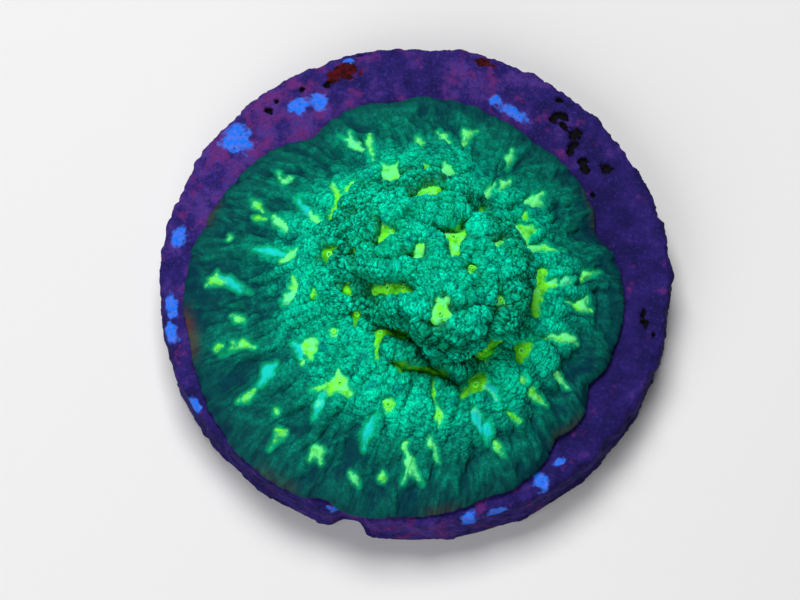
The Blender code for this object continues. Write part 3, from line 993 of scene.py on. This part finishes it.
def crust_profile():
    """The disc's section from its hidden middle over the rim to below: inset, height and run."""
    flat = np.linspace(DISC_RADIUS - CRUST_START, CRUST_EDGE, 66)
    bend = np.linspace(0.0, math.pi / 2, 9)[1:]
    wall = np.linspace(DISC_TOP - CRUST_EDGE, CRUST_EDGE, 32)[1:]
    foot = np.linspace(0.0, math.pi / 2, 5)[1:]
    inset = np.concatenate([
        flat,
        CRUST_EDGE * (1.0 - np.sin(bend)),
        0.0 * wall,
        CRUST_EDGE * (1.0 - np.cos(foot)),
    ])
    height = np.concatenate([
        DISC_TOP + 0.0 * flat,
        DISC_TOP - CRUST_EDGE * (1.0 - np.cos(bend)),
        wall,
        CRUST_EDGE * (1.0 - np.sin(foot)),
    ])
    steps = np.hypot(np.diff(inset), np.diff(height))
    return inset, height, CRUST_START + np.concatenate([[0.0], np.cumsum(steps)])


def crust_grid():
    """A grid to be wrapped round the disc, and its points' angle, inset, height and run."""
    profile = np.stack(crust_profile())
    rows = profile.shape[1] - 1
    grid = bmesh.new()
    bmesh.ops.create_grid(grid, x_segments=CRUST_STEPS, y_segments=rows, size=1.0, calc_uvs=False)
    flat = np.array([vertex.co[:2] for vertex in grid.verts]) / 2.0 + 0.5
    angle = np.mod(flat[:, 0], 1.0) * math.tau
    return grid, angle, *profile[:, np.rint(flat[:, 1] * rows).astype(int)]


def crust_warmth(angle):
    """How warm the crust's colours are on each side, below 0 where they are cool."""
    warm = sum(strength * towards(angle, degrees, spread) for degrees, strength, spread in WARM_SIDES)
    for degrees, strength, spread in WARM_PATCHES:
        warm = np.maximum(warm, strength * towards(angle, degrees, spread))
    return warm


def crust_relief(coarse, medium, small, angle, inset, run):
    """How far the crust stands out, with a broken edge and small knobs at the rim."""
    at_rim = smoothstep(1.2, 0.0, inset)
    steps = CRUST_STEP * (smoothstep(-0.05, 0.05, coarse) - 0.5)
    relief = CRUST_RELIEF * (0.8 * coarse + 0.7 * medium + 0.3 * small)
    relief = relief + (RIM_RELIEF * medium + steps) * at_rim
    for degrees, reach, radius, rise in RIM_KNOBS:
        relief = relief + rise * fading(np.hypot(turn_from(angle, degrees) * reach, run - reach) / radius)
    return np.minimum(relief, RELIEF_TOP)


def close_disc(mesh):
    """Joins the crust's two side edges, and fills the holes in its middle."""
    whole = bmesh.new()
    whole.from_mesh(mesh)
    loose = [vertex for vertex in whole.verts if vertex.is_boundary]
    bmesh.ops.remove_doubles(whole, verts=loose, dist=1e-7)
    open_round = [edge for edge in whole.edges if edge.is_boundary]
    bmesh.ops.holes_fill(whole, edges=open_round, sides=0)
    bmesh.ops.recalc_face_normals(whole, faces=whole.faces[:])
    whole.to_mesh(mesh)
    whole.free()
    mesh.shade_smooth()


def make_crust():
    """The disc with its crust: fine on the rim that shows, and flat underneath."""
    grid, angle, inset, height, run = crust_grid()
    out = level_ways(angle)
    points = out * (rim_reach(angle) - inset)[:, None]
    points[:, 2] = height
    noises = [rippled((points + shift) / size, octaves) for shift, size, octaves in CRUST_NOISES]
    _, medium, small = noises
    shown = {
        "pit": mark_distance(PITS, angle, run) + 0.40 * medium + 0.60 * small,
        "blue": mark_distance(BLUES, angle, run) + 0.50 * medium + 0.40 * small,
        "red": mark_distance(REDS, angle, run) + 0.45 * medium + 0.50 * small,
        "warm": crust_warmth(angle),
    }
    sunk = PIT_DEPTH * smoothstep(1.15, 0.55, shown["pit"])
    turned = smoothstep(CRUST_EDGE, 0.0, inset) * math.pi / 2
    normal = out * np.sin(turned)[:, None]
    normal[:, 2] = np.cos(turned)
    resting = smoothstep(0.1, 0.8, height)
    relief = crust_relief(*noises, angle, inset, run) - sunk
    points += normal * (relief * resting)[:, None]
    for vertex, point in zip(grid.verts, points * MM, strict=True):
        vertex.co = point
    mesh = finished("disc_crust", grid)
    for name, values in shown.items():
        store(mesh, name, values)
    close_disc(mesh)
    return mesh


# ---- finishes


class Finish:
    """A Principled material, with short calls for the nodes that feed it."""

    def __init__(self, name, roughness, specular):
        self.material = bpy.data.materials.new(name)
        self.material.use_nodes = True
        self.tree = self.material.node_tree
        self.shader = self.tree.nodes["Principled BSDF"]
        self.shader.inputs["Roughness"].default_value = roughness
        self.shader.inputs["Specular IOR Level"].default_value = specular
        self.object_place = self.add("TexCoord").outputs["Object"]

    def put(self, socket, value):
        """Sets an input to a number or a colour, or links it to another node's output."""
        if isinstance(value, bpy.types.NodeSocket):
            self.tree.links.new(value, socket)
        elif isinstance(value, tuple):
            socket.default_value = (*value, 1.0)
        else:
            socket.default_value = value

    def add(self, kind, **inputs):
        """A new node of this kind, with its inputs set or linked."""
        node = self.tree.nodes.new("ShaderNode" + kind)
        for name, value in inputs.items():
            self.put(node.inputs[name], value)
        return node

    def attribute(self, name):
        """A number that the mesh keeps for each point."""
        node = self.add("Attribute")
        node.attribute_name = name
        return node.outputs["Fac"]

    def noise(self, size, detail=3.0, roughness=0.6):
        """Noise from 0 to 1 with features about this many millimetres across."""
        look = {"Scale": 1.0 / (size * MM), "Detail": detail, "Roughness": roughness}
        return self.add("TexNoise", Vector=self.object_place, **look).outputs["Fac"]

    def cells(self, size):
        """The distance from the middle of a cell about this many millimetres across."""
        return self.add("TexVoronoi", Vector=self.object_place, Scale=1.0 / (size * MM)).outputs["Distance"]

    def math(self, operation, first, second):
        """One sum of two numbers."""
        node = self.add("Math")
        node.operation = operation
        self.put(node.inputs[0], first)
        self.put(node.inputs[1], second)
        return node.outputs[0]

    def plus(self, first, second):
        """Two numbers added."""
        return self.math("ADD", first, second)

    def times(self, first, second):
        """Two numbers multiplied."""
        return self.math("MULTIPLY", first, second)

    def between(self, value, low, high, start=0.0, end=1.0):
        """A smooth climb from start to end as the value goes from low to high."""
        if high < low:
            low, high, start, end = high, low, end, start
        limits = {"From Min": low, "From Max": high, "To Min": start, "To Max": end}
        node = self.add("MapRange", Value=value, **limits)
        node.interpolation_type = "SMOOTHSTEP"
        return node.outputs["Result"]

    def patches(self, size, detail, low, high, most=1.0, roughness=0.6):
        """Soft patches of noise, from 0 beside them to most inside them."""
        return self.between(self.noise(size, detail, roughness), low, high, 0.0, most)

    def wobble(self, size, amount):
        """Noise about 0, half this amount to either side."""
        return self.times(self.math("SUBTRACT", self.noise(size), 0.5), amount)

    def mix(self, share, first, second):
        """The first colour where share is 0, and the second where it is 1."""
        node = self.add("Mix")
        node.data_type = "RGBA"
        inputs = {socket.identifier: socket for socket in node.inputs}
        self.put(inputs["Factor_Float"], share)
        self.put(inputs["A_Color"], first)
        self.put(inputs["B_Color"], second)
        return next(socket for socket in node.outputs if socket.identifier == "Result_Color")

    def covered(self, colour, layers):
        """A colour with others laid over it, each with the share that it covers."""
        for share, cover in layers:
            colour = self.mix(share, colour, cover)
        return colour

    def colour(self, value):
        """Gives the surface its colour."""
        self.put(self.shader.inputs["Base Color"], value)

    def bump(self, height, strength, depth):
        """Bumps of this depth in millimetres."""
        node = self.add("Bump", Height=height, Strength=strength, Distance=depth * MM)
        self.put(self.shader.inputs["Normal"], node.outputs["Normal"])


def srgb(red, green, blue):
    """A colour in the usual 0 to 255 steps, as the linear colour that shaders take."""
    steps = np.array([red, green, blue]) / 255
    return tuple(np.where(steps <= 0.04045, steps / 12.92, ((steps + 0.055) / 1.055) ** 2.4).tolist())


# The tissue's greens. The gap colours are painted shade between the relief's tops, and the crown colours
# are the tissue with painted highlight on them.
KNOB_CROWN = srgb(0, 250, 202)
KNOB_CROWN_DEEP = srgb(0, 208, 156)
KNOB_TEAL = srgb(0, 152, 160)
KNOB_GAP_SHADE = srgb(0, 62, 40)
PLEAT_CROWN = srgb(0, 244, 190)
PLEAT_TEAL = srgb(0, 140, 142)
PLEAT_GAP_SHADE = srgb(0, 88, 72)
OUTER_BRIGHT = srgb(0, 150, 120)
OUTER_CROWN = srgb(0, 104, 84)
OUTER_GAP_SHADE = srgb(2, 62, 64)
LIP_CROWN = srgb(4, 88, 82)
LIP_GAP_SHADE = srgb(8, 44, 56)
# Painted shade in creases.
CREASE_SHADE_GREEN = srgb(0, 44, 22)
# Painted shade in fold valleys.
VALLEY_SHADE_BLUE = srgb(2, 46, 64)
EYE_YELLOW = srgb(118, 252, 50)
EYE_MINT = srgb(110, 252, 150)
EYE_CYAN = srgb(20, 206, 196)
# Painted glow round the eye spots.
EYE_PAINTED_HALO = srgb(4, 216, 130)
# Painted shade on eye spots: the olive partly, and the shade colour in patches.
EYE_SHADED_OLIVE = srgb(78, 172, 6)
EYE_SHADE = srgb(48, 176, 40)
# Painted glow in the creases beside the eye spots.
EYE_PAINTED_GLOW = srgb(44, 108, 4)
# Painted shade in the mouths' hollows.
MOUTH_HOLLOW_SHADE = srgb(16, 50, 8)
LIP_BROWN = srgb(96, 52, 34)


def tissue_colour(finish):
    """The green of the tissue, duller and bluer towards the lip, with painted shade in gaps, creases and
    fold valleys and painted highlight on the tops of the relief.
    """
    place = finish.attribute("place")
    # Painted shade at the edges of fine cells, and painted highlight on the relief's tops.
    fine_grain_shade = finish.between(finish.cells(0.20), 0.65, 0.30, 0.6, 1.0)
    relief_light_share = finish.times(finish.between(finish.attribute("relief_light_share"), 0.10, 0.80), fine_grain_shade)
    tops = finish.mix(finish.patches(2.2, 4.0, 0.38, 0.62), KNOB_CROWN_DEEP, KNOB_CROWN)
    tops = finish.mix(finish.patches(1.2, 3.0, 0.56, 0.70, 0.6), tops, KNOB_TEAL)
    pleats = finish.mix(finish.patches(1.6, 4.0, 0.50, 0.68, 0.75), PLEAT_CROWN, PLEAT_TEAL)
    mottled = finish.mix(finish.patches(0.9, 4.0, 0.42, 0.62, roughness=0.7), OUTER_CROWN, OUTER_BRIGHT)
    # Painted shade in the creases and crevices, fading out down the skirt.
    crease_shade_share = finish.times(finish.attribute("crease_shade"), finish.between(place, 0.60, 0.74, 0.80, 0.0))
    # Painted shade in the fold valleys of the skirt's outer half, in noisy patches.
    patchy = finish.between(finish.noise(2.0), 0.35, 0.60, 0.40, 1.0)
    shaded = finish.times(finish.attribute("valley"), patchy)
    shaded = finish.times(shaded, finish.between(place, 0.64, 0.84, 0.0, 0.84))
    return finish.covered(finish.mix(relief_light_share, KNOB_GAP_SHADE, tops), (
        (finish.between(place, *SKIRT_START), finish.mix(relief_light_share, PLEAT_GAP_SHADE, pleats)),
        (finish.between(place, 0.70, 0.84), finish.mix(relief_light_share, OUTER_GAP_SHADE, mottled)),
        (finish.between(place, 0.84, 0.97), finish.mix(relief_light_share, LIP_GAP_SHADE, LIP_CROWN)),
        (crease_shade_share, CREASE_SHADE_GREEN),
        (shaded, VALLEY_SHADE_BLUE),
        (finish.times(finish.attribute("brown"), finish.noise(1.5)), LIP_BROWN),
    ))


def eye_colour(finish):
    """The colour of the eye spots, from olive, partly painted shade, over yellow-green and mint to cyan,
    with patches of painted shade.
    """
    tint = finish.plus(finish.attribute("tint"), finish.wobble(0.8, 1.0))
    return finish.covered(EYE_SHADED_OLIVE, (
        (finish.between(tint, -0.75, -0.05), EYE_YELLOW),
        (finish.patches(0.9, 3.0, 0.46, 0.64, 0.7), EYE_SHADE),
        (finish.between(tint, -0.02, 0.30), EYE_MINT),
        (finish.between(tint, 0.45, 0.80), EYE_CYAN),
    ))


def with_eyes(finish, colour):
    """Lays the eye spots over a colour, with a painted glow round them and a painted olive glow in the
    shaded creases beside them.
    """
    distance, place = finish.attribute("eye"), finish.attribute("place")
    on_knob = finish.between(place, 0.70, 0.60)
    # Painted glow in the creases near the eye spots, and round the spots.
    painted_glow = finish.times(finish.between(distance, 0.9, 0.0), finish.attribute("crease_shade"))
    painted_halo = finish.times(finish.between(distance, 0.5, 0.0, 0.0, 0.38), finish.between(place, 0.5, 0.7, 0.4))
    ragged = finish.plus(distance, finish.wobble(0.45, 0.7))
    crisp = finish.times(finish.between(ragged, 0.08, -0.08), on_knob)
    soft = finish.times(finish.between(ragged, 0.15, -0.17), finish.math("SUBTRACT", 1.0, on_knob))
    inside = finish.times(finish.plus(crisp, soft), finish.between(place, 0.76, 0.92, 1.0, 0.68))
    return finish.covered(colour, (
        (finish.times(painted_glow, finish.times(on_knob, 0.8)), EYE_PAINTED_GLOW),
        (painted_halo, EYE_PAINTED_HALO),
        (inside, eye_colour(finish)),
    ))


def skin_finish():
    """The tissue, with grain finer than the modelled granules."""
    finish = Finish("coral_tissue_skin", 0.7, 0.04)
    finish.colour(with_eyes(finish, tissue_colour(finish)))
    finish.bump(finish.noise(0.16), 0.6, 0.05)
    return finish.material


def mouth_finish():
    """The mouths' lips, and painted shade in their hollows."""
    finish = Finish("coral_tissue_mouths", 0.7, 0.04)
    reach = finish.attribute("reach")
    lips = finish.mix(finish.patches(0.5, 3.0, 0.35, 0.65), EYE_YELLOW, EYE_MINT)
    lips = finish.mix(finish.between(reach, 0.80, 1.20), lips, EYE_YELLOW)
    finish.colour(finish.mix(finish.between(reach, 0.42, 0.62), MOUTH_HOLLOW_SHADE, lips))
    finish.bump(finish.noise(0.12), 0.5, 0.03)
    return finish.material


CRUST_DEEP = srgb(24, 17, 76)
CRUST_VIOLET = srgb(38, 26, 100)
CRUST_PURPLE = srgb(72, 44, 124)
CRUST_MAGENTA = srgb(100, 36, 108)
CRUST_LILAC = srgb(68, 64, 164)
CRUST_BLUE = srgb(22, 112, 236)
CRUST_PALE_BLUE = srgb(78, 112, 220)
CRUST_RED = srgb(84, 6, 8)
CRUST_DARK_RED = srgb(34, 2, 8)
CRUST_SHADE = srgb(14, 10, 42)
PIT_BLACK = srgb(8, 6, 12)


def crust_finish():
    """Coralline crust: violet, purple and magenta blotches, and the marks on them."""
    finish = Finish("crusted_ceramic", 0.8, 0.1)
    warm = finish.attribute("warm")
    blotch = finish.plus(finish.noise(2.2, 5.0, 0.65), finish.times(warm, 0.20))
    reddish = finish.plus(finish.noise(1.8, 5.0, 0.65), finish.times(warm, 0.17))
    fleck = finish.plus(finish.noise(0.35, 5.0, 0.75), finish.times(warm, 0.06))
    blue = finish.mix(finish.patches(0.5, 4.0, 0.40, 0.65), CRUST_BLUE, CRUST_PALE_BLUE)
    red = finish.mix(finish.patches(0.6, 4.0, 0.40, 0.62), CRUST_DARK_RED, CRUST_RED)
    finish.colour(finish.covered(CRUST_DEEP, (
        (finish.between(blotch, 0.40, 0.62), CRUST_VIOLET),
        (finish.between(blotch, 0.58, 0.78), CRUST_PURPLE),
        (finish.between(reddish, 0.60, 0.78, 0.0, 0.85), CRUST_MAGENTA),
        (finish.between(fleck, 0.54, 0.72, 0.0, 0.50), CRUST_LILAC),
        (finish.between(finish.attribute("blue"), 1.30, 0.70), blue),
        (finish.between(finish.attribute("red"), 1.15, 0.85), red),
        (finish.patches(0.28, 5.0, 0.46, 0.32, 0.8, roughness=0.8), CRUST_SHADE),
        (finish.between(finish.attribute("pit"), 1.10, 0.80), PIT_BLACK),
    )))
    finish.bump(finish.noise(0.3, 5.0, 0.7), 0.7, 0.12)
    return finish.material


def floor_finish():
    """Plain pale paper."""
    finish = Finish("floor", 0.9, 0.2)
    finish.colour((0.74, 0.74, 0.74))
    return finish.material


# ---- stage

CAMERA_ELEVATION = math.radians(70)
CAMERA_DISTANCE = 0.33
CAMERA_LENS = 150
CAMERA_AIM = (-0.0015, -0.0022, 0.006)
LAMP_AIM = (0.0, 0.0, 0.01)
WORLD_LIGHT = 0.5


def aim(thing, target):
    """Turns a camera or a lamp towards a point."""
    way = Vector(target) - thing.location
    thing.rotation_euler = way.to_track_quat("-Z", "Y").to_euler()


def place_lamp(name, place, size, watts):
    """A square soft light that shines on the object."""
    data = bpy.data.lights.new(name, "AREA")
    data.size = size
    data.energy = watts
    lamp = add_object(name, data)
    lamp.location = place
    aim(lamp, LAMP_AIM)


def place_camera():
    """The camera, south of the object and high above it."""
    data = bpy.data.cameras.new("camera")
    data.lens = CAMERA_LENS
    data.clip_start = 0.01
    camera = add_object("camera", data)
    back = (0.0, -math.cos(CAMERA_ELEVATION), math.sin(CAMERA_ELEVATION))
    camera.location = Vector(CAMERA_AIM) + CAMERA_DISTANCE * Vector(back)
    aim(camera, CAMERA_AIM)
    bpy.context.scene.camera = camera


def place_floor():
    """A plain floor under the object."""
    bpy.ops.mesh.primitive_plane_add(size=2.0)
    floor = bpy.context.object
    floor.name = "floor"
    floor.data.materials.append(floor_finish())


def build_stage():
    """The camera, the floor and the light."""
    place_camera()
    place_floor()
    place_lamp("key", (-0.04, 0.18, 0.42), 0.24, 2.0)
    place_lamp("fill", (-0.18, -0.30, 0.30), 0.40, 1.32)
    world = bpy.data.worlds.new("world")
    bpy.context.scene.world = world
    world.use_nodes = True
    world.node_tree.nodes["Background"].inputs["Strength"].default_value = WORLD_LIGHT
    bpy.context.scene.view_settings.view_transform = "Standard"


def build_object():
    """The colony's skin and mouths, and the disc with its crust."""
    skin = Skin()
    make_skin_pieces(skin, skin_finish())
    make_object("coral_mouths", make_mouths(skin.mouths), mouth_finish(), "coral_colony")
    make_object("disc_crust", make_crust(), crust_finish(), "frag_disc")


build_object()
build_stage()
